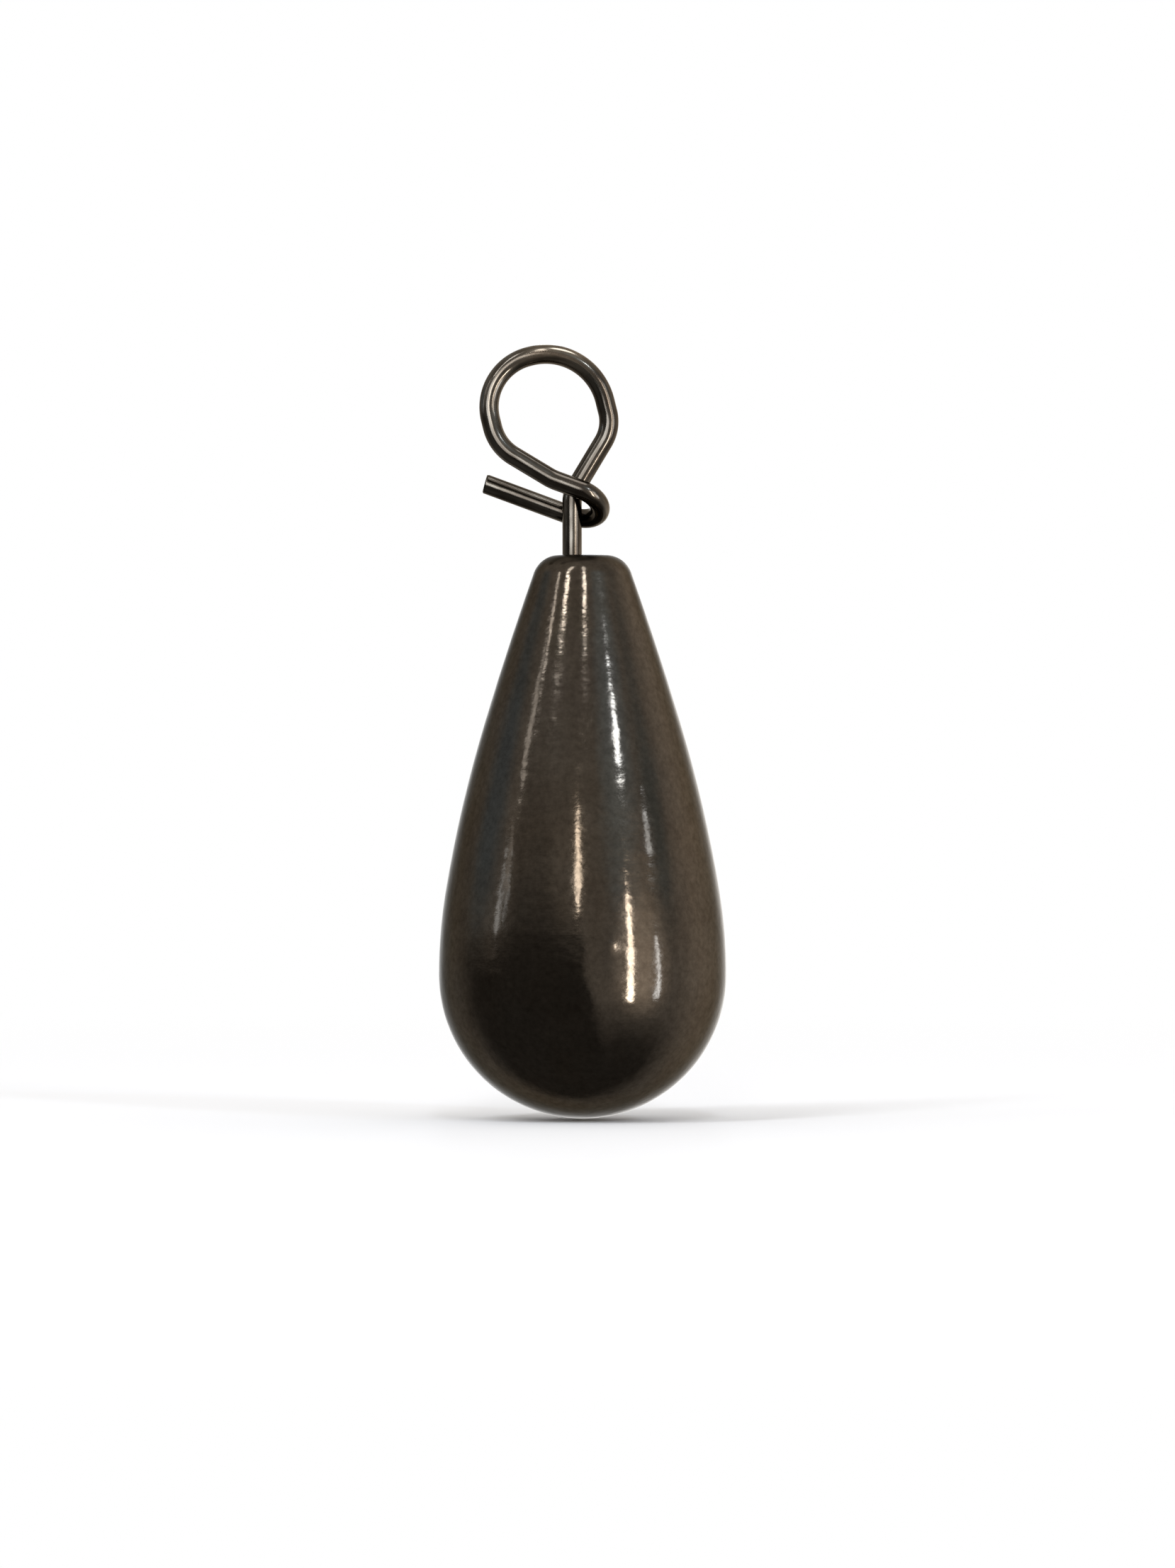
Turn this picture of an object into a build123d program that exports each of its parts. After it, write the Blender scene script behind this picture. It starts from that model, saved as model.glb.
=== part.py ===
from build123d import *
import os
from math import cos, radians, sin, sqrt, tan

# Teardrop fishing sinker that hangs from a swivelling wire line clip.
# The origin is the centre of the wire ring, where the line pulls.
# +Z runs up along the sinker, +X is to its right seen from the front, and the front faces -Y.
# Lengths are in millimetres and angles in degrees.

# Sinker body: a round bottom, a flank of tangent arcs that grows straighter upwards, and a small flat nose
body_diameter = 8.8
body_length = 17.22
shoulder_diameter = 8.36
shoulder_height = 7
waist_diameter = 6.04
waist_height = 12
nose_diameter = 2.6
nose_rim_radius = 0.83

# Eye: one piece of spring wire, with sizes taken along the centre line of the wire.
# The ring's five sides, from the leg over the top to the run back, each have a reach from the ring's centre.
wire_diameter = 0.6
strand_gap = 0.07
ring_lean = 31
leg_reach = 1.865
ring_side_reach = 1.745
ring_top_reach = 1.82
ring_left_reach = 1.785
run_reach = 1.695
leg_bend_radius = 1.2
ring_top_radius = 1.87
ring_left_radius = 1.61
run_bend_radius = 1.4
shank_offset = 0.7
shank_bend_radius = 0.8
clip_run = 0.6
clip_bend_radius = 1.5
clip_slope = 20
tail_slope = 20.3
hook_reach = 0.26
hook_drop = 0.81
hook_straight = 0.04
tail_length = 2.57
neck_gap = 0.66

# Swivel: a ball on the end of the wire, held in a barrel whose mouth is closed in round the wire
swivel_offset = 0.32
head_overhang = 0.12
running_clearance = 0.05
head_clearance = 0.04
barrel_wall = 0.1
barrel_length = 2.4
barrel_chamfer = 0.1
barrel_recess = 0.06
lip_angle = 45

# Bond: cured resin between the barrel and its blind bore in the body
bond_film = 0.03
bond_pad = 0.15
bore_point_angle = 118

# Directions in the plane of the ring
leg_up = Vector(sin(radians(ring_lean)), 0, cos(radians(ring_lean)))
leg_across = Vector(cos(radians(ring_lean)), 0, -sin(radians(ring_lean)))
clip_along = Vector(cos(radians(clip_slope)), 0, -sin(radians(clip_slope)))
clip_down = Vector(-sin(radians(clip_slope)), 0, -cos(radians(clip_slope)))
tail_along = Vector(cos(radians(tail_slope)), 0, -sin(radians(tail_slope)))


def ring_point(across, up):
    """Point in the plane of the ring, measured from its centre across the leg and up along it."""
    return leg_across * across + leg_up * up


# Corners of the wire's centre line, from the shank round the ring to the free end of the tail.
# The ring turns by an eighth of a circle at its right and its foot, and by a quarter at its top and its left.
wire_radius = wire_diameter / 2
strand_depth = Vector(0, wire_diameter + strand_gap, 0)
diagonal = sqrt(1 / 2)
forward_step = strand_depth / 3
leg_foot = ring_point(leg_reach, 0)
shank_top = leg_foot - leg_up * ((leg_foot.X - shank_offset) / leg_up.X)
ring_right = ring_point(leg_reach, ring_side_reach / diagonal - leg_reach)
ring_top = ring_point(ring_side_reach - ring_top_reach, ring_side_reach + ring_top_reach) * diagonal
ring_left = ring_point(-ring_top_reach - ring_left_reach, ring_top_reach - ring_left_reach) * diagonal
ring_foot = ring_point(run_reach - ring_left_reach / diagonal, -run_reach) - strand_depth
front_run = (shank_offset - clip_run - ring_foot.X) / leg_across.X
clip_start = ring_foot + leg_across * front_run
crossing = clip_start + clip_along * (clip_run / clip_along.X)
hook_across = strand_depth * 2 + clip_down * hook_drop
hook_along = hook_reach + hook_across.length / 2
hook_front = crossing + clip_along * hook_along
hook_back = hook_front + hook_across
tail_end = hook_back - tail_along * (hook_along + tail_length)
hook_radius = (hook_across.length - hook_straight) / 2
shank_and_leg_runs = 3
clip_and_hook_runs = 7

# Heights and radii of the swivel and its bore
nose_z = hook_back.Z - wire_radius - neck_gap
pole_z = nose_z - body_length
body_axis_x = shank_offset + swivel_offset
head_radius = wire_radius + head_overhang
mouth_radius = wire_radius + running_clearance
cavity_radius = head_radius + head_clearance
barrel_radius = cavity_radius + barrel_wall
bore_radius = barrel_radius + bond_film
lip_height = (cavity_radius - mouth_radius) / tan(radians(lip_angle))
mouth_z = nose_z - barrel_recess
lip_z = mouth_z - lip_height
barrel_foot_z = mouth_z - barrel_length
bore_foot_z = barrel_foot_z - bond_pad
bore_point_z = bore_foot_z - bore_radius / tan(radians(bore_point_angle / 2))
seat_depth = max(
    sqrt(cavity_radius**2 - mouth_radius**2),
    cavity_radius / sin(radians(lip_angle)) - mouth_radius / tan(radians(lip_angle)),
)
head_centre = Vector(shank_offset, 0, mouth_z - seat_depth)


def turned(*outline):
    """A closed outline of (radius, height) corners, turned about the swivel's axis."""
    face = Plane.XZ * make_face(Polyline(*outline, close=True))
    return Pos(shank_offset, 0, 0) * revolve(face, axis=Axis.Z)


def bore(mouth_height):
    """The drilled blind hole, from the given height down to the point of the drill."""
    return turned(
        (0, mouth_height),
        (bore_radius, mouth_height),
        (bore_radius, bore_foot_z),
        (0, bore_point_z),
    )


def sinker_body():
    """Teardrop weight with the blind bore for the swivel."""
    belly = (body_diameter / 2, pole_z + body_diameter / 2)
    shoulder = (shoulder_diameter / 2, pole_z + shoulder_height)
    waist = (waist_diameter / 2, pole_z + waist_height)
    nose = (nose_diameter / 2, nose_z)
    cap = TangentArc(belly, (0, pole_z), tangent=(0, -1))
    lower_flank = TangentArc(belly, shoulder, tangent=(0, 1))
    middle_flank = TangentArc(shoulder, waist, tangent=lower_flank % 1)
    upper_flank = TangentArc(waist, nose, tangent=middle_flank % 1)
    top = Line(nose, (0, nose_z))
    centre = Line((0, nose_z), (0, pole_z))
    outline = make_face([cap, lower_flank, middle_flank, upper_flank, top, centre])
    rim = outline.vertices().sort_by_distance(nose)[0]
    profile = Plane.XZ * fillet(rim, nose_rim_radius)
    return Pos(body_axis_x, 0, 0) * revolve(profile, axis=Axis.Z) - bore(nose_z)


def barrel_blank():
    """Outside of the swivel barrel: a drawn cup whose mouth slopes in towards the wire."""
    return turned(
        (0, mouth_z),
        (mouth_radius + barrel_wall, mouth_z),
        (barrel_radius, lip_z),
        (barrel_radius, barrel_foot_z + barrel_chamfer),
        (barrel_radius - barrel_chamfer, barrel_foot_z),
        (0, barrel_foot_z),
    )


def swivel_barrel():
    """Cup that holds the ball, open only at the mouth where the wire runs through."""
    cavity = turned(
        (0, mouth_z),
        (mouth_radius, mouth_z),
        (cavity_radius, lip_z),
        (cavity_radius, barrel_foot_z + barrel_wall),
        (0, barrel_foot_z + barrel_wall),
    )
    return barrel_blank() - cavity


def bonding_resin():
    """Resin film round the barrel and the pad under it, up to the barrel's sloping lip."""
    return bore(lip_z) - barrel_blank()


def eye_route():
    """Centre line of the wire: straight runs joined by tangent arcs."""
    return FilletPolyline(
        head_centre,
        shank_top,
        ring_right,
        ring_top - forward_step,
        ring_left - forward_step * 2,
        ring_foot,
        clip_start,
        hook_front,
        hook_back,
        tail_end,
        radius=[
            shank_bend_radius,
            leg_bend_radius,
            ring_top_radius,
            ring_left_radius,
            run_bend_radius,
            clip_bend_radius,
            hook_radius,
            hook_radius,
        ],
    )


def line_eye():
    """Ball head, shank, ring, hook round the shank and free tail, bent from one wire."""
    route = eye_route()
    section = Plane(route @ 0, z_dir=route % 0) * Circle(wire_radius)
    return sweep(section, path=route) + Pos(head_centre) * Sphere(head_radius)


def least_strand_gap():
    """Clear distance between the shank with its leg of the ring and the hook that goes round it."""
    runs = eye_route().edges()
    shank_and_leg = runs[:shank_and_leg_runs]
    clip_and_hook = runs[-clip_and_hook_runs:]
    return min(run.distance_to(other) for run in shank_and_leg for other in clip_and_hook) - wire_diameter


pieces = {
    "sinker_body": sinker_body(),
    "swivel_barrel": swivel_barrel(),
    "bonding_resin": bonding_resin(),
    "line_eye": line_eye(),
}

os.makedirs("parts", exist_ok=True)
for name, piece in pieces.items():
    export_step(piece, f"parts/{name}.step")

print(f"least gap between strands of the wire: {least_strand_gap():.3f} mm")
print(f"overall height: {pieces['line_eye'].bounding_box().max.Z - pole_z:.2f} mm")
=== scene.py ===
from collections import namedtuple
from math import atan2, cos, exp, pi, radians, sin, sqrt, tan

import bmesh
import bpy
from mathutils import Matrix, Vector


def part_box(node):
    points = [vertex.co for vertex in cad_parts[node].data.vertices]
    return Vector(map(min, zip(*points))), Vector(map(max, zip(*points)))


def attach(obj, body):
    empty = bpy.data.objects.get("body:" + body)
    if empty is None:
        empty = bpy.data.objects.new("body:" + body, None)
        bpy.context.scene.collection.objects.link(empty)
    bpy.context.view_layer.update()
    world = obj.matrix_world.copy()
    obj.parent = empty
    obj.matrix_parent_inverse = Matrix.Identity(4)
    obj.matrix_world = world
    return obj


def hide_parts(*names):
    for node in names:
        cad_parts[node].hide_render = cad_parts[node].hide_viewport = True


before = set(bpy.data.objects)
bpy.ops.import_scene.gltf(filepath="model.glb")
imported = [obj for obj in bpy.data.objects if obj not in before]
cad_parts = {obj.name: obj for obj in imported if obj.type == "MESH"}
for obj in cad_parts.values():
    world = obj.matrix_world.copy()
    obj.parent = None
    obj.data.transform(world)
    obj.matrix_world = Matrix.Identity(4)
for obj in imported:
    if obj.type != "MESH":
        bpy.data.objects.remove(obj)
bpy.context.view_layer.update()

MM = 0.001

# Places taken from the frame, in metres
body_low, body_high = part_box("sinker_body")
resin_low, resin_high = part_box("bonding_resin")
head_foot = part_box("line_eye")[0].z
pole_z, nose_z = body_low.z, body_high.z
axis_x = (body_low.x + body_high.x) / 2
belly_radius = (body_high.y - body_low.y) / 2
shank_x = (resin_low.x + resin_high.x) / 2
bore_radius = (resin_high.x - resin_low.x) / 2
bore_point_z = resin_low.z
body_middle = Vector((axis_x, 0, (pole_z + nose_z) / 2))

# Outline of the weight, as in the solid
SHOULDER_RADIUS = 4.18 * MM
SHOULDER_HEIGHT = 7 * MM
WAIST_RADIUS = 3.02 * MM
WAIST_HEIGHT = 12 * MM
NOSE_RADIUS = 1.3 * MM
NOSE_RIM_RADIUS = 0.83 * MM
BORE_POINT_ANGLE = radians(118)

# How finely the weight is turned, what is left between its rim and the bore, and which edges are sharp
BODY_SEGMENTS = 336
CAP_ROWS = 56
FLANK_ROWS = 190
RIM_ROWS = 20
MOUTH_ROWS = 14
BORE_ROWS = 6
MOUTH_MARGIN = NOSE_RIM_RADIUS / 10
BODY_EDGE_ANGLE = radians(40)
BODY_TURNS = [2 * pi * i / BODY_SEGMENTS for i in range(BODY_SEGMENTS)]

# Waves of hand polishing, in millimetres: their rate up the body, and how they run and sway round it
Wave = namedtuple("Wave", "depth rate run sway")
POLISH_WAVES = (
    Wave(depth=0.0004, rate=9.7, run=0, sway=0),
    Wave(depth=0.0003, rate=15.1, run=2, sway=0),
    Wave(depth=0.0005, rate=4.3, run=0, sway=3),
)

# Marks on the weight, in millimetres and degrees: two raised burrs, of negative depth, and small nicks
Mark = namedtuple("Mark", "azimuth height width length depth")
MARKS = (
    Mark(azimuth=6.1, height=5.67, width=0.2, length=0.2, depth=-0.014),
    Mark(azimuth=10.4, height=5.34, width=0.28, length=0.3, depth=-0.025),
    Mark(azimuth=-27, height=3.9, width=0.25, length=0.12, depth=0.006),
    Mark(azimuth=24, height=2.3, width=0.12, length=0.16, depth=0.008),
    Mark(azimuth=118, height=8.4, width=0.2, length=0.35, depth=0.01),
    Mark(azimuth=-140, height=5.9, width=0.3, length=0.18, depth=0.01),
    Mark(azimuth=170, height=11.2, width=0.14, length=0.3, depth=0.008),
)

# Depths below the nose between which the cut face turns dull, and how rough it is
CUT_FACE_START = 0.42 * MM
CUT_FACE_FULL = 0.14 * MM
CUT_FACE_ROUGHNESS = 0.34

# Wire of the eye, along its centre line, as in the solid
WIRE_RADIUS = 0.3 * MM
STRAND_GAP = 0.07 * MM
RING_LEAN = radians(31)
LEG_REACH = 1.865 * MM
RING_SIDE_REACH = 1.745 * MM
RING_TOP_REACH = 1.82 * MM
RING_LEFT_REACH = 1.785 * MM
RUN_REACH = 1.695 * MM
LEG_BEND_RADIUS = 1.2 * MM
RING_TOP_RADIUS = 1.87 * MM
RING_LEFT_RADIUS = 1.61 * MM
RUN_BEND_RADIUS = 1.4 * MM
SHANK_BEND_RADIUS = 0.8 * MM
CLIP_RUN = 0.6 * MM
CLIP_BEND_RADIUS = 1.5 * MM
CLIP_SLOPE = radians(20)
TAIL_SLOPE = radians(20.3)
HOOK_REACH = 0.26 * MM
HOOK_DROP = 0.81 * MM
HOOK_STRAIGHT = 0.04 * MM
TAIL_LENGTH = 2.57 * MM
HEAD_RADIUS = 0.42 * MM

# How finely the wire is drawn, a hair thinner than the solid
DRAWN_RADIUS = 0.298 * MM
WIRE_SEGMENTS = 40
WIRE_STEP = 0.06 * MM
BEND_STEPS = 4
WIRE_EDGE_ANGLE = radians(50)
WIRE_TURNS = [2 * pi * i / WIRE_SEGMENTS for i in range(WIRE_SEGMENTS)]
ROUTE_MAP = "turn_and_length"

# Nipped end of the wire: rows of (millimetres out, share of the radius), set back and tilted
CUT_ROWS = ((0.0, 1.0), (0.02, 0.985), (0.045, 0.94), (0.055, 0.86), (0.04, 0.5))
CUT_SETBACK = 0.06 * MM
CUT_CENTRE = 0.035 * MM
CUT_TILT = 0.09

# Painted highlight: the wire's colour made lighter round a point at the top of the ring, fading out with
# distance
PAINTED_HIGHLIGHT_PLACE = Vector((0.2, 0, 1.9)) * MM
PAINTED_HIGHLIGHT_REACH = 0.6 * MM
PAINTED_HIGHLIGHT_FADE = 1.6 * MM

# Colours of the finishes, each from dark to light
PATINA = ((0.041, 0.031, 0.022), (0.056, 0.044, 0.032))
BLUE_TINGE = ((0.046, 0.036, 0.026), (0.047, 0.043, 0.038))
TARNISH = ((0.032, 0.025, 0.019), (0.049, 0.041, 0.032), (0.087, 0.076, 0.062))
BRASS = ((0.2, 0.15, 0.08), (0.42, 0.33, 0.18))
AMBER = ((0.09, 0.06, 0.025), (0.2, 0.14, 0.06))

# Shades that multiply those colours: the weight's grain, the wire's spots and the painted highlight that
# lightens the top of the ring
GRAIN = ((0.76, 0.75, 0.74), (1.2, 1.2, 1.2))
SPOTS = ((0.8, 0.78, 0.76), (1.15, 1.15, 1.15))
PAINTED_HIGHLIGHT_SHADES = ((1, 1, 1), (2.2, 2.12, 2.0))

# Tints of the two shown metals near a grazing angle
TUNGSTEN_EDGE_TINT = (0.486, 0.485, 0.477)
WIRE_EDGE_TINT = (0.6, 0.58, 0.55)

# Depths of the finest relief on each surface
WAVE_RELIEF = 0.014 * MM
PEEL_RELIEF = 0.0045 * MM
TURNING_RELIEF = 0.0006 * MM
DINT_RELIEF = 0.003 * MM
DRAWN_RELIEF = 0.0004 * MM
BRASS_RELIEF = 0.002 * MM
RIPPLE_RELIEF = 0.01 * MM

# Camera, which looks along +Y at the middle of the photograph's frame
CAMERA_DISTANCE = 250 * MM
VIEW_CENTRE_X = 1.17 * MM
VIEW_CENTRE_Z = -11.332 * MM
VIEW_HEIGHT = 47.945 * MM
SENSOR = 36
CLIP_NEAR = 1 * MM
CLIP_FAR = 100

# Studio: a pale floor that runs out to white, under soft white surroundings
WHITE = (1, 1, 1)
SOFT_STRENGTH = 0.6
FLOOR_COLOUR = (0.9, 0.865, 0.83)
FLOOR_ROUGHNESS = 0.9
FLOOR_GAP = 0.05 * MM
FLOOR_HALF = 3.0
FLOOR_PALE_REACH = 30 * MM
FLOOR_WHITE_REACH = 120 * MM

# Light tent, with round patches seen from the weight at an azimuth to the right and an elevation, in
# degrees, which fade between two distances on the unit sphere
TENT_RADIUS = 1.0
TENT_SEGMENTS = 48
TENT_RINGS = 32
Patch = namedtuple("Patch", "azimuth elevation inner outer tint")
REAR_GLOW = Patch(azimuth=135, elevation=8, inner=0.35, outer=1.05, tint=(1.95, 1.85, 1.75))
COOL_PANE = Patch(azimuth=38, elevation=29, inner=0.12, outer=0.42, tint=(1.15, 1.4, 1.65))
# Two darker bands low at the left and right: painted shade, for the weight's own shadow where it meets the
# ground, as the metal mirrors it
LEFT_SHADE_BAND = Patch(azimuth=-97, elevation=18, inner=0.08, outer=0.4, tint=(0.62, 0.78, 0.95))
RIGHT_SHADE_BAND = Patch(azimuth=74, elevation=20, inner=0.03, outer=0.28, tint=(0.7, 0.82, 0.9))
SIDE_GLOW = Patch(azimuth=50, elevation=-4, inner=0.06, outer=0.54, tint=(3.3, 3.1, 2.9))

# Dark opening low in the front of the tent: where it fades out and where it is full, to the back and
# upwards, as (place to the right, edge) stops on the unit sphere
# The opening is the dark room in front; where it reaches past the sides and under the weight it is painted
# shade, for the weight's own shadow on the ground
OPENING_TINT = (0.2, 0.2, 0.2)
BACK_FADED = ((-0.97, 0.79), (-0.6, 0.61), (-0.3, 0.57), (0.27, 0.67), (0.5, 0.48), (0.9, 0.3))
BACK_FULL = ((-0.97, 0.0), (-0.6, 0.24), (-0.3, 0.36), (0.0, 0.34), (0.6, 0.0), (0.9, -0.35))
TOP_FADED = ((-0.97, 0.15), (-0.8, 0.6), (-0.55, 0.6), (-0.3, 0.34), (0.0, 0.22), (0.15, -0.05), (0.3, -0.28))
TOP_FULL = ((-0.97, -0.03), (-0.8, 0.0), (0.0, 0.02), (0.15, -0.75), (0.26, -1.0), (0.45, -0.87))

# Lamps, with their angles and their width and height, in degrees, as seen from the weight
LAMP_DISTANCE = 0.8
NEUTRAL = (1.0, 1.0, 1.0)
PLAIN = (0.83, 0.9, 1.0)
COOL = (0.63, 0.78, 1.0)
Lamp = namedtuple("Lamp", "name azimuth elevation width height radiance colour")
LAMPS = (
    Lamp("left_over", -39, 53, 8, 24, 14, PLAIN),
    Lamp("front_over", 4, 54, 7, 24, 11, PLAIN),
    Lamp("left_high", -62, 33.8, 5, 4.5, 11, PLAIN),
    Lamp("left_middle", -67, 27.5, 5, 9, 4.5, PLAIN),
    Lamp("left_inner", -39, 38.8, 7, 3.5, 46, PLAIN),
    Lamp("front_high", 4, 40.5, 6, 3, 42, PLAIN),
    Lamp("right_high", 41, 30.7, 4.4, 5.6, 60, COOL),
    Lamp("right_outer", 63.5, 20, 4.5, 3.5, 12, COOL),
    Lamp("front_low", -4, 19.2, 5, 12, 20, NEUTRAL),
    Lamp("right_low", 38.5, -1, 5, 36, 34, NEUTRAL),
    Lamp("right_foot", 38.5, -14, 7, 12, 26, NEUTRAL),
    Lamp("right_far", 62.5, -5, 3.6, 24, 20, COOL),
    Lamp("left_low", -73.5, 12.5, 2.6, 9, 5, COOL),
    Lamp("left_low_inner", -68, 13, 2.2, 8, 3.5, COOL),
    Lamp("left_lower", -76, 8.5, 4, 6, 5, COOL),
    Lamp("left_faint", -70, 17, 4, 6, 1.5, PLAIN),
    Lamp("rear", 180, 24, 5, 34, 5, PLAIN),
)
EYE_LAMPS = (
    Lamp("eye_front", -13, 12, 36, 44, 9, PLAIN),
    Lamp("eye_right", 54, 2, 13, 40, 7, PLAIN),
    Lamp("eye_top", 65, 69, 28, 18, 8, PLAIN),
)


# Meshes

def new_object(name, mesh, body=None):
    """Links a mesh into the scene and lets it ride on a CAD body."""
    piece = bpy.data.objects.new(name, mesh)
    bpy.context.scene.collection.objects.link(piece)
    if body:
        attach(piece, body)
    return piece


def side_faces(count, along):
    """Quads between neighbouring rings, and the turn and length at each of their corners."""
    faces, corners = [], []
    for row in range(len(along) - 1):
        low, high = row * count, (row + 1) * count
        for i in range(count):
            j = (i + 1) % count
            turn, next_turn = i / count, (i + 1) / count
            faces.append((low + i, low + j, high + j, high + i))
            corners += [(turn, along[row]), (next_turn, along[row])]
            corners += [(next_turn, along[row + 1]), (turn, along[row + 1])]
    return faces, corners


def tip_faces(count, along, row, tip, flipped):
    """Triangles between one ring and a tip, and the turn and length at each of their corners."""
    faces, corners = [], []
    for i in range(count):
        j = (i + 1) % count
        first, second = (j, i) if flipped else (i, j)
        faces.append((row * count + first, row * count + second, tip))
        corners += [(corner / count, along[row]) for corner in (first, second, i)]
    return faces, corners


def ring_mesh(name, rings, along, start_tip, end_tip):
    """Smooth mesh of equal rings, closed by a tip at both ends, with a map of turn and length along."""
    count, last = len(rings[0]), len(rings) - 1
    points = [point for ring in rings for point in ring] + [start_tip, end_tip]
    patches = (
        side_faces(count, along),
        tip_faces(count, along, 0, len(points) - 2, flipped=True),
        tip_faces(count, along, last, len(points) - 1, flipped=False),
    )
    faces = [face for patch, _ in patches for face in patch]
    corners = [value for _, patch in patches for corner in patch for value in corner]
    mesh = bpy.data.meshes.new(name)
    mesh.from_pydata([tuple(point) for point in points], [], faces)
    layer = mesh.uv_layers.new(name=ROUTE_MAP)
    layer.data.foreach_set("uv", corners)
    mesh.validate()
    mesh.shade_smooth()
    return mesh


# Weight

def tangent_arc(start, slope, end, rows):
    """Points of the arc from start, leaving at the slope from the vertical, to end, and the slope there."""
    chord = Vector(end) - Vector(start)
    half = atan2(-chord.x, chord.y) - slope
    radius = chord.length / (2 * sin(half))
    centre = Vector(start) - Vector((cos(slope), sin(slope))) * radius
    points = []
    for k in range(1, rows + 1):
        angle = slope + 2 * half * k / rows
        points.append(centre + Vector((cos(angle), sin(angle))) * radius)
    return points, slope + 2 * half


def cap_and_flank():
    """Outline as (radius, height) from just above the pole to a sharp nose, and the slope there."""
    belly_z = pole_z + belly_radius
    outline = []
    for k in range(1, CAP_ROWS + 1):
        angle = pi / 2 * (k / CAP_ROWS - 1)
        outline.append(Vector((belly_radius * cos(angle), belly_z + belly_radius * sin(angle))))
    shoulder = (SHOULDER_RADIUS, pole_z + SHOULDER_HEIGHT)
    waist = (WAIST_RADIUS, pole_z + WAIST_HEIGHT)
    nose = (NOSE_RADIUS, nose_z)
    slope = 0
    start = (belly_radius, belly_z)
    for end in (shoulder, waist, nose):
        rows = round(FLANK_ROWS * (end[1] - start[1]) / (nose_z - belly_z))
        arc, slope = tangent_arc(start, slope, end, rows)
        outline += arc
        start = end
    return outline, slope


def body_outline():
    """Outline as (radius, height) from just above the pole to the flat nose, and the rim's centre."""
    outline, slope = cap_and_flank()
    centre = Vector((NOSE_RADIUS - NOSE_RIM_RADIUS * tan(pi / 4 - slope / 2), nose_z - NOSE_RIM_RADIUS))
    rim_start_z = centre.y + NOSE_RIM_RADIUS * sin(slope)
    outline = [point for point in outline if point.y < rim_start_z]
    for k in range(RIM_ROWS + 1):
        angle = slope + (pi / 2 - slope) * k / RIM_ROWS
        outline.append(centre + Vector((cos(angle), sin(angle))) * NOSE_RIM_RADIUS)
    return outline, centre


def wear_depth(azimuth, height, radius):
    """How far the surface lies inside the true outline, from a place given in millimetres."""
    depth = 0
    for wave in POLISH_WAVES:
        depth += wave.depth * (1 + sin(height * wave.rate + wave.run * azimuth + wave.sway * sin(azimuth)))
    for mark in MARKS:
        turn = (azimuth - radians(mark.azimuth) + pi) % (2 * pi) - pi
        across = turn * radius / mark.width
        up = (height - mark.height) / mark.length
        depth += mark.depth * exp(-2 * (across**2 + up**2))
    return depth * MM


def flank_rings(outline, rim_centre):
    """Worn rings from the pole up the flank and over the rim, short of the bore."""
    mouth_edge = bore_radius + abs(axis_x - shank_x) + MOUTH_MARGIN
    rings = []
    for radius, z in outline:
        if z > rim_centre.y and radius < mouth_edge:
            break
        ring = []
        for turn in BODY_TURNS:
            reach = radius - wear_depth(turn, (z - pole_z) / MM, radius / MM)
            ring.append(Vector((axis_x + reach * sin(turn), -reach * cos(turn), z)))
        rings.append(ring)
    return rings


def mouth_rings(rim, rim_centre):
    """Rings over the top of the nose, from the last one on its rim to the edge of the bore."""
    rings = []
    for k in range(1, MOUTH_ROWS + 1):
        ring = []
        for outer, turn in zip(rim, BODY_TURNS):
            inner = Vector((shank_x + bore_radius * sin(turn), -bore_radius * cos(turn), nose_z))
            point = outer.lerp(inner, k / MOUTH_ROWS)
            beyond = max(Vector((point.x - axis_x, point.y)).length - rim_centre.x, 0)
            point.z = rim_centre.y + sqrt(NOSE_RIM_RADIUS**2 - beyond**2)
            ring.append(point)
        rings.append(ring)
    return rings


def bore_rings(mouth):
    """Rings down the wall of the bore to where its pointed foot begins."""
    foot_z = bore_point_z + bore_radius / tan(BORE_POINT_ANGLE / 2)
    rings = []
    for k in range(1, BORE_ROWS + 1):
        rings.append([Vector((p.x, p.y, p.z + (foot_z - p.z) * k / BORE_ROWS)) for p in mouth])
    return rings


def weight():
    """Turned and polished weight that stands for the CAD body."""
    outline, rim_centre = body_outline()
    rings = flank_rings(outline, rim_centre)
    rings += mouth_rings(rings[-1], rim_centre)
    rings += bore_rings(rings[-1])
    along = [row / len(rings) for row in range(len(rings))]
    pole = Vector((axis_x, 0, pole_z))
    bore_point = Vector((shank_x, 0, bore_point_z))
    mesh = ring_mesh("polished_weight", rings, along, pole, bore_point)
    mesh.set_sharp_from_angle(angle=BODY_EDGE_ANGLE)
    piece = new_object("polished_weight", mesh, "weight")
    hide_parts("sinker_body")
    return piece


# Eye

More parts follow.
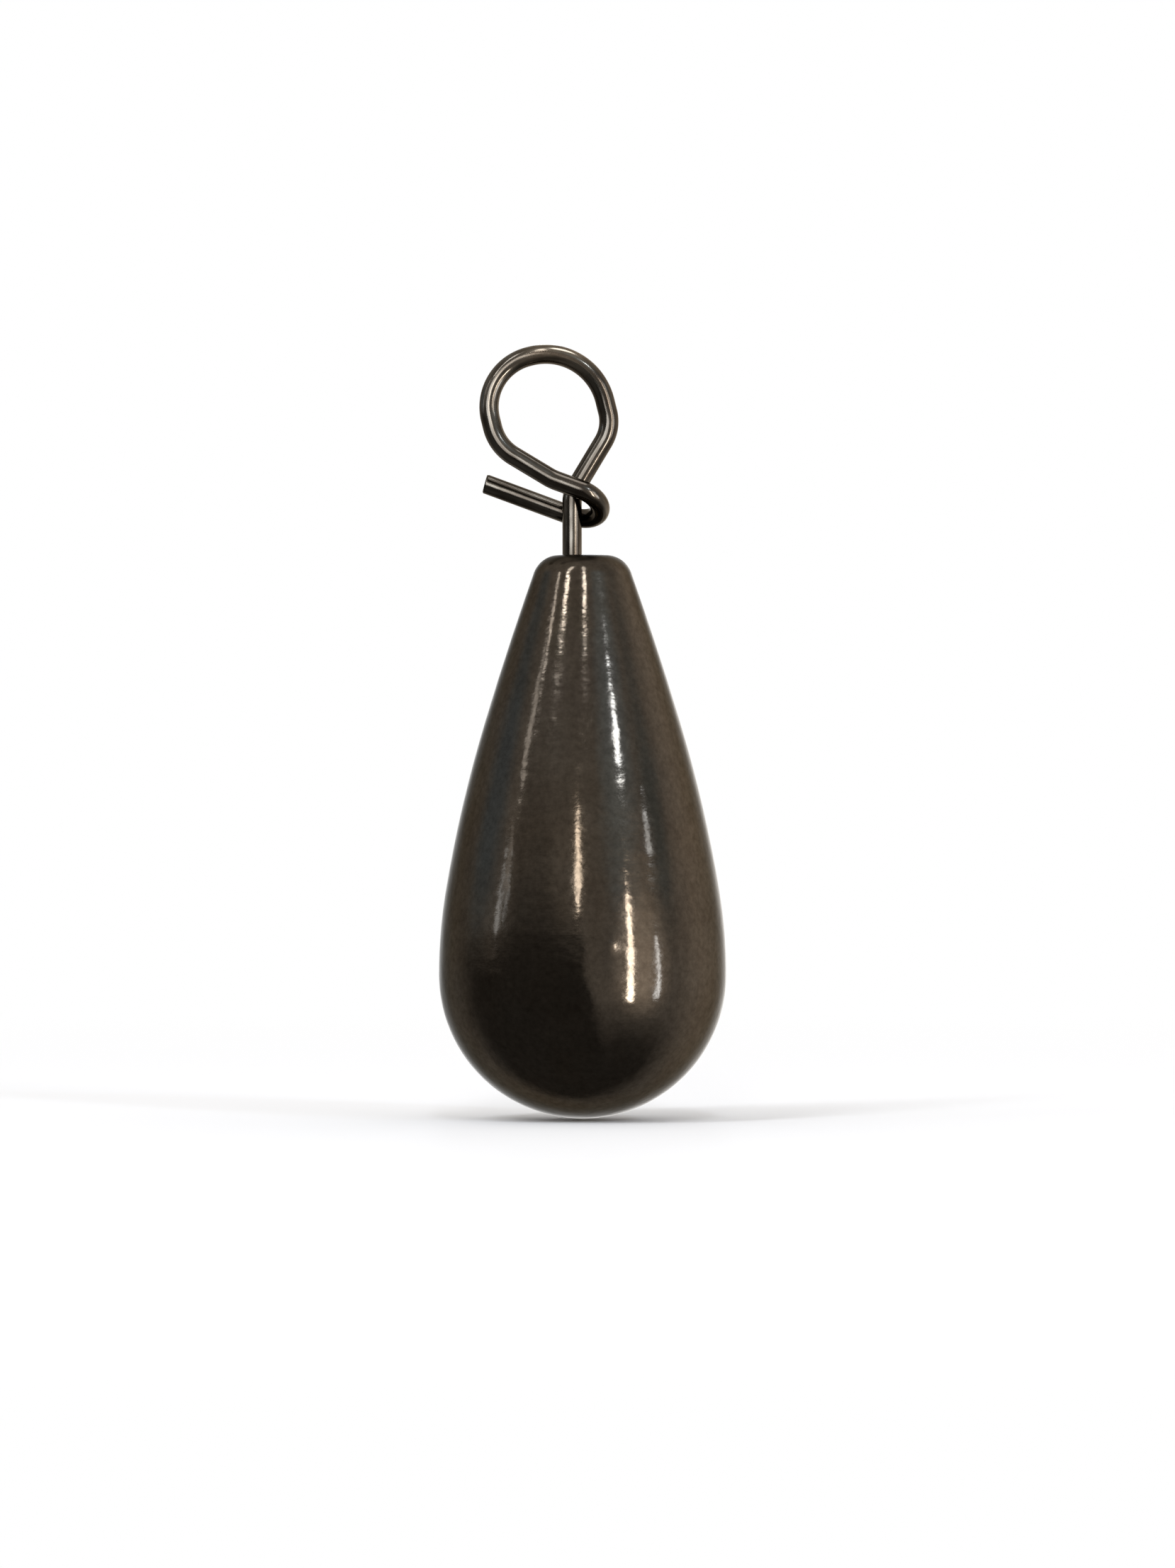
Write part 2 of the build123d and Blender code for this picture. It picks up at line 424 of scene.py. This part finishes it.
def eye_corners():
    """Corners of the wire's centre line, from the ball to the free end, and the bend radius at each."""
    leg_up = Vector((sin(RING_LEAN), 0, cos(RING_LEAN)))
    leg_across = Vector((cos(RING_LEAN), 0, -sin(RING_LEAN)))
    clip_along = Vector((cos(CLIP_SLOPE), 0, -sin(CLIP_SLOPE)))
    clip_down = Vector((-sin(CLIP_SLOPE), 0, -cos(CLIP_SLOPE)))
    tail_along = Vector((cos(TAIL_SLOPE), 0, -sin(TAIL_SLOPE)))
    strand_depth = Vector((0, 2 * WIRE_RADIUS + STRAND_GAP, 0))
    diagonal = sqrt(1 / 2)

    def ring_point(across, up):
        return leg_across * across + leg_up * up

    ball_foot = Vector((shank_x, 0, head_foot))
    leg_foot = ring_point(LEG_REACH, 0)
    shank_top = leg_foot - leg_up * ((leg_foot.x - shank_x) / leg_up.x)
    ring_right = ring_point(LEG_REACH, RING_SIDE_REACH / diagonal - LEG_REACH)
    ring_top = ring_point(RING_SIDE_REACH - RING_TOP_REACH, RING_SIDE_REACH + RING_TOP_REACH) * diagonal
    ring_left = ring_point(-RING_TOP_REACH - RING_LEFT_REACH, RING_TOP_REACH - RING_LEFT_REACH) * diagonal
    ring_foot = ring_point(RUN_REACH - RING_LEFT_REACH / diagonal, -RUN_REACH) - strand_depth
    clip_start = ring_foot + leg_across * ((shank_x - CLIP_RUN - ring_foot.x) / leg_across.x)
    crossing = clip_start + clip_along * (CLIP_RUN / clip_along.x)
    hook_across = strand_depth * 2 + clip_down * HOOK_DROP
    hook_along = HOOK_REACH + hook_across.length / 2
    hook_front = crossing + clip_along * hook_along
    hook_back = hook_front + hook_across
    tail_end = hook_back - tail_along * (hook_along + TAIL_LENGTH)
    hook_radius = (hook_across.length - HOOK_STRAIGHT) / 2
    route = (
        (ball_foot, None),
        (shank_top, SHANK_BEND_RADIUS),
        (ring_right, LEG_BEND_RADIUS),
        (ring_top - strand_depth / 3, RING_TOP_RADIUS),
        (ring_left - strand_depth * 2 / 3, RING_LEFT_RADIUS),
        (ring_foot, RUN_BEND_RADIUS),
        (clip_start, CLIP_BEND_RADIUS),
        (hook_front, hook_radius),
        (hook_back, hook_radius),
        (tail_end, None),
    )
    return [corner for corner, _ in route], [bend for _, bend in route[1:-1]]


def straight(start, end):
    """Points along a straight run, without its first one."""
    steps = max(1, round((end - start).length / WIRE_STEP))
    return [start.lerp(end, k / steps) for k in range(1, steps + 1)]


def eye_route():
    """Evenly spaced points along the wire's straight runs and bends."""
    corners, bends = eye_corners()
    route = [corners[0]]
    for before, corner, after, radius in zip(corners, corners[1:], corners[2:], bends):
        incoming = (corner - before).normalized()
        outgoing = (after - corner).normalized()
        angle = incoming.angle(outgoing)
        bend_start = corner - incoming * (radius * tan(angle / 2))
        inward = (outgoing - incoming * incoming.dot(outgoing)).normalized()
        route += straight(route[-1], bend_start)
        steps = max(BEND_STEPS, round(radius * angle / WIRE_STEP))
        for k in range(1, steps + 1):
            part = angle * k / steps
            route.append(bend_start + incoming * (radius * sin(part)) + inward * (radius * (1 - cos(part))))
    route += straight(route[-1], corners[-1])
    return route


def carried_axes(route):
    """At each point the direction along the wire and two across it, carried on without a twist."""
    tangent = (route[1] - route[0]).normalized()
    side = tangent.orthogonal().normalized()
    axes = []
    for k in range(len(route)):
        ahead = route[min(k + 1, len(route) - 1)] - route[max(k - 1, 0)]
        side = tangent.rotation_difference(ahead) @ side
        tangent = ahead.normalized()
        side = (side - tangent * side.dot(tangent)).normalized()
        axes.append((tangent, side, tangent.cross(side)))
    return axes


def wire_reach(distance):
    """Radius of the wire at a distance from the bottom of its ball."""
    off_centre = abs(distance - HEAD_RADIUS)
    ball = sqrt(max(HEAD_RADIUS**2 - off_centre**2, 0))
    if distance < HEAD_RADIUS:
        return ball
    return max(ball, DRAWN_RADIUS)


def wire_spokes(side, other, reach):
    """Steps from the centre of the wire to its surface, all the way round."""
    return [(side * cos(turn) + other * sin(turn)) * reach for turn in WIRE_TURNS]


def eye_rings():
    """Rings round the wire from the ball to the nipped end, the length along at each, and both tips."""
    route = eye_route()
    axes = carried_axes(route)
    rings, along = [], []
    length = 0
    for k in range(1, len(route)):
        length += (route[k] - route[k - 1]).length
        tangent, side, other = axes[k]
        rings.append([route[k] + spoke for spoke in wire_spokes(side, other, wire_reach(length))])
        along.append(length / MM)
    rings.pop()
    along.pop()
    end = route[-1] - tangent * CUT_SETBACK
    for out, share in CUT_ROWS:
        spokes = wire_spokes(side, other, DRAWN_RADIUS * share)
        rings.append([end + spoke + tangent * (out * MM + CUT_TILT * spoke.z) for spoke in spokes])
        along.append(length / MM + out)
    return rings, along, route[0], end + tangent * CUT_CENTRE


def eye():
    """Bent wire eye that stands for the CAD one."""
    mesh = ring_mesh("bent_wire_eye", *eye_rings())
    mesh.set_sharp_from_angle(angle=WIRE_EDGE_ANGLE)
    piece = new_object("bent_wire_eye", mesh, "eye")
    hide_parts("line_eye")
    return piece


# Shader nodes

def set_or_link(tree, socket, value):
    """Links another socket to a socket, or sets it to a number, a vector or a colour."""
    if isinstance(value, bpy.types.NodeSocket):
        tree.links.new(value, socket)
    elif socket.type == "RGBA":
        socket.default_value = (*value, 1)
    else:
        socket.default_value = value


def add_node(tree, kind, **values):
    """New shader node; each value goes to the input of that name, with _ for a space, or to a property."""
    node = tree.nodes.new(kind)
    for name, value in values.items():
        socket = node.inputs.get(name.replace("_", " "))
        if socket is None:
            setattr(node, name, value)
        else:
            set_or_link(tree, socket, value)
    return node


def maths(tree, operation, *values):
    """Result of an operation on numbers or sockets."""
    node = add_node(tree, "ShaderNodeMath", operation=operation)
    for socket, value in zip(node.inputs, values):
        set_or_link(tree, socket, value)
    return node.outputs["Value"]


def axes_of(tree, vector):
    """The three parts of a vector socket."""
    return add_node(tree, "ShaderNodeSeparateXYZ", Vector=vector).outputs


def ramp(tree, source, *stops):
    """Colour ramp fed by a value; each stop is (position, colour)."""
    node = add_node(tree, "ShaderNodeValToRGB", Fac=source)
    elements = node.color_ramp.elements
    while len(elements) < len(stops):
        elements.new(0.5)
    for element, (place, colour) in zip(elements, stops):
        element.position = place
        element.color = (*colour, 1)
    return node.outputs["Color"]


def toned(tree, source, colours, start=0.3, end=0.7):
    """Colour that runs evenly through the given ones as the source goes from start to end."""
    step = (end - start) / (len(colours) - 1)
    return ramp(tree, source, *((start + step * k, colour) for k, colour in enumerate(colours)))


def spread(tree, source, low, high):
    """Maps a 0 to 1 value to the given range, whose ends are numbers or sockets."""
    return add_node(tree, "ShaderNodeMapRange", Value=source, To_Min=low, To_Max=high).outputs["Result"]


def smooth_step(tree, source, none_at, full_at):
    """0 at one value and 1 at another, smooth between; both are numbers or sockets."""
    node = add_node(tree, "ShaderNodeMapRange", Value=source, From_Min=none_at, From_Max=full_at)
    node.interpolation_type = "SMOOTHSTEP"
    return node.outputs["Result"]


def profile(tree, source, stops):
    """Value read off straight lines between (source, value) stops, all of them from -1 to 1."""
    shifted = add_node(tree, "ShaderNodeMapRange", Value=source, From_Min=-1, From_Max=1)
    greys = [((at + 1) / 2, ((value + 1) / 2,) * 3) for at, value in stops]
    return spread(tree, ramp(tree, shifted.outputs["Result"], *greys), low=-1, high=1)


def noise(tree, vector, scale, detail, roughness=0.55):
    """Noise value, with as many features to a unit of the coordinates as the scale says."""
    node = add_node(tree, "ShaderNodeTexNoise", Vector=vector, Scale=scale, Detail=detail)
    node.inputs["Roughness"].default_value = roughness
    return node.outputs["Fac"]


def stretched(tree, vector, scale):
    """Coordinates scaled by a different amount along each axis."""
    return add_node(tree, "ShaderNodeMapping", Vector=vector, Scale=scale).outputs["Vector"]


def blended(tree, factor, first, second, blend_type="MIX"):
    """Colour made from two colours, each a socket or written out, by a factor."""
    node = add_node(tree, "ShaderNodeMix", data_type="RGBA", blend_type=blend_type, Factor=factor)
    inputs = [socket for socket in node.inputs if socket.type == "RGBA"]
    for socket, colour in zip(inputs, (first, second)):
        set_or_link(tree, socket, colour)
    return next(socket for socket in node.outputs if socket.type == "RGBA")


def multiplied(tree, first, second):
    """Product of two colours."""
    return blended(tree, 1.0, first, second, blend_type="MULTIPLY")


def spot(tree, place, centre, inner, outer):
    """1 within an inner distance of a centre, fading to 0 at an outer one."""
    node = add_node(tree, "ShaderNodeVectorMath", operation="DISTANCE")
    for socket, value in zip(node.inputs, (place, centre)):
        set_or_link(tree, socket, value)
    return smooth_step(tree, node.outputs["Value"], outer, inner)


def bump(tree, height, distance, beneath=None):
    """Normal of a height socket, on top of another bump's normal."""
    node = add_node(tree, "ShaderNodeBump", Strength=1.0, Distance=distance, Height=height)
    if beneath is not None:
        tree.links.new(beneath, node.inputs["Normal"])
    return node.outputs["Normal"]


def mixed_shaders(tree, factor, first, second):
    """The first shader where the factor is 0 and the second where it is 1."""
    node = add_node(tree, "ShaderNodeMixShader", Fac=factor)
    tree.links.new(first, node.inputs[1])
    tree.links.new(second, node.inputs[2])
    return node.outputs["Shader"]


def position(tree):
    """Coordinates on the piece in metres."""
    return tree.nodes.new("ShaderNodeTexCoord").outputs["Object"]


def new_material(name):
    """Empty material with its node tree."""
    material = bpy.data.materials.new(name)
    material.use_nodes = True
    material.node_tree.nodes.clear()
    return material, material.node_tree


def show(tree, shader):
    """Makes a shader the surface of a material."""
    add_node(tree, "ShaderNodeOutputMaterial", Surface=shader)


def principled(tree, **values):
    """Principled shader with the given inputs."""
    return add_node(tree, "ShaderNodeBsdfPrincipled", **values).outputs["BSDF"]


# Materials

def tungsten_colour(tree, place):
    """Brown patina, blue-tinged in places, under a fine grain."""
    patina = toned(tree, noise(tree, place, scale=900, detail=6, roughness=0.6), PATINA)
    clouds = noise(tree, stretched(tree, place, (1, 1, 0.4)), scale=420, detail=3)
    tinge = toned(tree, clouds, BLUE_TINGE)
    share = spread(tree, noise(tree, place, scale=300, detail=2), low=0.1, high=0.6)
    grain = toned(tree, noise(tree, place, scale=5200, detail=4, roughness=0.7), GRAIN)
    return multiplied(tree, blended(tree, share, patina, tinge), grain)


def tungsten():
    """Dark polished tungsten with turning marks and a duller cut face at the nose."""
    material, tree = new_material("dark_tungsten")
    place = position(tree)
    haze = noise(tree, place, scale=6500, detail=4, roughness=0.7)
    polish = spread(tree, haze, low=0.02, high=0.2)
    height = axes_of(tree, place)["Z"]
    cut_face = smooth_step(tree, height, nose_z - CUT_FACE_START, nose_z - CUT_FACE_FULL)
    waves = noise(tree, stretched(tree, place, (1, 1, 0.7)), scale=1200, detail=1)
    peel = noise(tree, stretched(tree, place, (0.7, 0.7, 1)), scale=3800, detail=2)
    turning = noise(tree, stretched(tree, place, (0.02, 0.02, 1)), scale=14000, detail=3)
    worked = bump(tree, peel, PEEL_RELIEF, bump(tree, waves, WAVE_RELIEF))
    shader = principled(
        tree,
        Base_Color=tungsten_colour(tree, place),
        Roughness=spread(tree, cut_face, low=polish, high=CUT_FACE_ROUGHNESS),
        Normal=bump(tree, turning, TURNING_RELIEF, worked),
        Metallic=1.0,
        Specular_Tint=TUNGSTEN_EDGE_TINT,
    )
    show(tree, shader)
    return material


def round_wire(tree, around, lengthwise):
    """Coordinates that run round the wire without a seam and along it, at their own scales."""
    turn, length, _ = axes_of(tree, add_node(tree, "ShaderNodeUVMap", uv_map=ROUTE_MAP).outputs["UV"])
    angle = spread(tree, turn, low=0, high=2 * pi)
    joined = add_node(
        tree,
        "ShaderNodeCombineXYZ",
        X=maths(tree, "COSINE", angle),
        Y=maths(tree, "SINE", angle),
        Z=length,
    )
    return stretched(tree, joined.outputs["Vector"], (around, around, lengthwise))


def wire_colour(tree, place, lines):
    """Brown tarnish in lines and spots, lightened at the top of the ring by a painted highlight."""
    tarnish = toned(tree, lines, TARNISH, start=0.34, end=0.66)
    spots = toned(tree, noise(tree, place, scale=2400, detail=3), SPOTS)
    # Painted highlight: the colour is lightened round the top of the ring
    highlight_mask = spot(tree, place, PAINTED_HIGHLIGHT_PLACE, PAINTED_HIGHLIGHT_REACH, PAINTED_HIGHLIGHT_FADE)
    painted_highlight = toned(tree, highlight_mask, PAINTED_HIGHLIGHT_SHADES, start=0, end=1)
    return multiplied(tree, multiplied(tree, tarnish, spots), painted_highlight)


def spring_wire():
    """Drawn spring wire, nickel grey under brown tarnish, with lines along its length."""
    material, tree = new_material("drawn_wire")
    place = position(tree)
    lines = noise(tree, round_wire(tree, around=1.8, lengthwise=0.55), scale=1, detail=3)
    drawn = noise(tree, round_wire(tree, around=9, lengthwise=0.4), scale=1, detail=2)
    dints = noise(tree, place, scale=2000, detail=2)
    shader = principled(
        tree,
        Base_Color=wire_colour(tree, place, lines),
        Roughness=spread(tree, lines, low=0.2, high=0.1),
        Normal=bump(tree, drawn, DRAWN_RELIEF, bump(tree, dints, DINT_RELIEF)),
        Metallic=1.0,
        Specular_Tint=WIRE_EDGE_TINT,
    )
    show(tree, shader)
    return material


def brass():
    """Drawn brass of the swivel barrel, dull and a little tarnished."""
    material, tree = new_material("tarnished_brass")
    place = position(tree)
    drawn = noise(tree, stretched(tree, place, (1, 1, 0.05)), scale=12000, detail=2)
    shader = principled(
        tree,
        Base_Color=toned(tree, noise(tree, place, scale=2500, detail=5), BRASS),
        Roughness=spread(tree, drawn, low=0.28, high=0.45),
        Normal=bump(tree, drawn, BRASS_RELIEF),
        Metallic=1.0,
    )
    show(tree, shader)
    return material


def resin():
    """Cured amber resin, glossy, with a few specks."""
    material, tree = new_material("cured_resin")
    place = position(tree)
    specks = noise(tree, place, scale=4000, detail=4)
    ripple = noise(tree, place, scale=3000, detail=2)
    shader = principled(
        tree,
        Base_Color=toned(tree, specks, AMBER, start=0.35),
        Roughness=spread(tree, ripple, low=0.12, high=0.3),
        Normal=bump(tree, ripple, RIPPLE_RELIEF),
    )
    show(tree, shader)
    return material


def dress():
    """Builds the pieces, gives every shown one its material and returns the wire."""
    weight().data.materials.append(tungsten())
    wire = eye()
    wire.data.materials.append(spring_wire())
    for node, material in (("swivel_barrel", brass()), ("bonding_resin", resin())):
        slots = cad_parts[node].data.materials
        slots.clear()
        slots.append(material)
    return wire


# Studio

def seen_directly(tree):
    """1 for rays from the camera, a mirror or glass, which show the white background, and 0 for the rest."""
    path = tree.nodes.new("ShaderNodeLightPath").outputs
    seen = maths(tree, "MAXIMUM", path["Is Camera Ray"], path["Is Glossy Ray"])
    return maths(tree, "MAXIMUM", seen, path["Is Transmission Ray"])


def studio_world():
    """White surroundings, which light the floor softly."""
    world = bpy.data.worlds.new("white_studio")
    bpy.context.scene.world = world
    world.use_nodes = True
    tree = world.node_tree
    tree.nodes.clear()
    soft = add_node(tree, "ShaderNodeBackground", Color=WHITE, Strength=SOFT_STRENGTH)
    white = add_node(tree, "ShaderNodeBackground", Color=WHITE, Strength=1.0)
    both = mixed_shaders(
        tree, seen_directly(tree), soft.outputs["Background"], white.outputs["Background"]
    )
    add_node(tree, "ShaderNodeOutputWorld", Surface=both)


def floor_material():
    """Pale floor that takes the shadow near the sinker and runs out to white."""
    material, tree = new_material("pale_floor")
    pale = principled(tree, Base_Color=FLOOR_COLOUR, Roughness=FLOOR_ROUGHNESS)
    white = add_node(tree, "ShaderNodeEmission", Color=WHITE, Strength=1.0).outputs["Emission"]
    away = add_node(tree, "ShaderNodeVectorMath", operation="LENGTH")
    tree.links.new(position(tree), away.inputs[0])
    far = smooth_step(tree, away.outputs["Value"], FLOOR_PALE_REACH, FLOOR_WHITE_REACH)
    show(tree, mixed_shaders(tree, maths(tree, "MULTIPLY", far, seen_directly(tree)), pale, white))
    return material


def floor():
    """Pale floor just under the weight."""
    level = pole_z - FLOOR_GAP
    half = FLOOR_HALF
    corners = [(-half, -half, level), (half, -half, level), (half, half, level), (-half, half, level)]
    mesh = bpy.data.meshes.new("floor")
    mesh.from_pydata(corners, [], [(0, 1, 2, 3)])
    mesh.materials.append(floor_material())
    piece = new_object("floor", mesh)
    piece.visible_glossy = False


def toward(azimuth, elevation):
    """Unit vector at an azimuth to the right of the front and an elevation, in degrees."""
    azimuth, elevation = radians(azimuth), radians(elevation)
    return Vector((sin(azimuth) * cos(elevation), -cos(azimuth) * cos(elevation), sin(elevation)))


def patched(tree, colour, direction, patch):
    """Colour of the tent with one patch on it."""
    centre = toward(patch.azimuth, patch.elevation)
    return blended(tree, spot(tree, direction, centre, patch.inner, patch.outer), colour, patch.tint)


def dark_opening(tree, direction):
    """1 in the dark opening low in the front of the tent and 0 elsewhere."""
    x, y, z = axes_of(tree, direction)
    front = smooth_step(tree, y, profile(tree, x, BACK_FADED), profile(tree, x, BACK_FULL))
    low = smooth_step(tree, z, profile(tree, x, TOP_FADED), profile(tree, x, TOP_FULL))
    return maths(tree, "MULTIPLY", front, low)


def tent_material():
    """White cloth of the light tent with its glows, bands of painted shade, cool pane and dark opening."""
    material, tree = new_material("tent_cloth")
    unit = add_node(tree, "ShaderNodeVectorMath", operation="NORMALIZE")
    tree.links.new(position(tree), unit.inputs[0])
    direction = unit.outputs["Vector"]
    colour = WHITE
    # The two shade bands among these patches are painted shade
    for patch in (REAR_GLOW, COOL_PANE, LEFT_SHADE_BAND, RIGHT_SHADE_BAND):
        colour = patched(tree, colour, direction, patch)
    # Dark opening: the dark room in front, and painted shade below and beside the weight
    colour = blended(tree, dark_opening(tree, direction), colour, OPENING_TINT)
    colour = patched(tree, colour, direction, SIDE_GLOW)
    show(tree, add_node(tree, "ShaderNodeEmission", Color=colour, Strength=1.0).outputs["Emission"])
    return material


def light_tent():
    """Tent round the sinker, which only its mirror image shows."""
    mesh = bpy.data.meshes.new("light_tent")
    shape = bmesh.new()
    bmesh.ops.create_uvsphere(shape, u_segments=TENT_SEGMENTS, v_segments=TENT_RINGS, radius=TENT_RADIUS)
    shape.to_mesh(mesh)
    shape.free()
    mesh.materials.append(tent_material())
    piece = new_object("light_tent", mesh)
    piece.location = body_middle
    piece.visible_camera = False
    piece.visible_diffuse = False
    piece.visible_shadow = False


def strip_lamp(lamp):
    """Elliptical lamp that faces the weight."""
    data = bpy.data.lights.new(lamp.name, "AREA")
    data.shape = "ELLIPSE"
    data.size = 2 * LAMP_DISTANCE * tan(radians(lamp.width / 2))
    data.size_y = 2 * LAMP_DISTANCE * tan(radians(lamp.height / 2))
    data.energy = lamp.radiance * pi * (pi / 4 * data.size * data.size_y)
    data.color = lamp.colour
    piece = bpy.data.objects.new(lamp.name, data)
    bpy.context.scene.collection.objects.link(piece)
    outward = toward(lamp.azimuth, lamp.elevation)
    piece.location = body_middle + outward * LAMP_DISTANCE
    piece.rotation_euler = (-outward).to_track_quat("-Z", "Y").to_euler()
    piece.visible_camera = False
    return piece


def light_only(lamps, wire):
    """Lets some lamps, flagged off from the weight, light the wire alone."""
    flagged = bpy.data.collections.new("flagged_lamps")
    flagged.objects.link(wire)
    for lamp in lamps:
        lamp.light_linking.receiver_collection = flagged


def camera():
    """Camera at the photograph's angle and frame."""
    data = bpy.data.cameras.new("camera")
    data.sensor_width = SENSOR
    data.lens = SENSOR * CAMERA_DISTANCE / VIEW_HEIGHT
    data.clip_start = CLIP_NEAR
    data.clip_end = CLIP_FAR
    piece = bpy.data.objects.new("camera", data)
    bpy.context.scene.collection.objects.link(piece)
    piece.location = (VIEW_CENTRE_X, -CAMERA_DISTANCE, VIEW_CENTRE_Z)
    piece.rotation_euler = (pi / 2, 0, 0)
    bpy.context.scene.camera = piece


wire = dress()
studio_world()
floor()
light_tent()
for lamp in LAMPS:
    strip_lamp(lamp)
light_only([strip_lamp(lamp) for lamp in EYE_LAMPS], wire)
camera()
bpy.context.scene.view_settings.view_transform = "Standard"
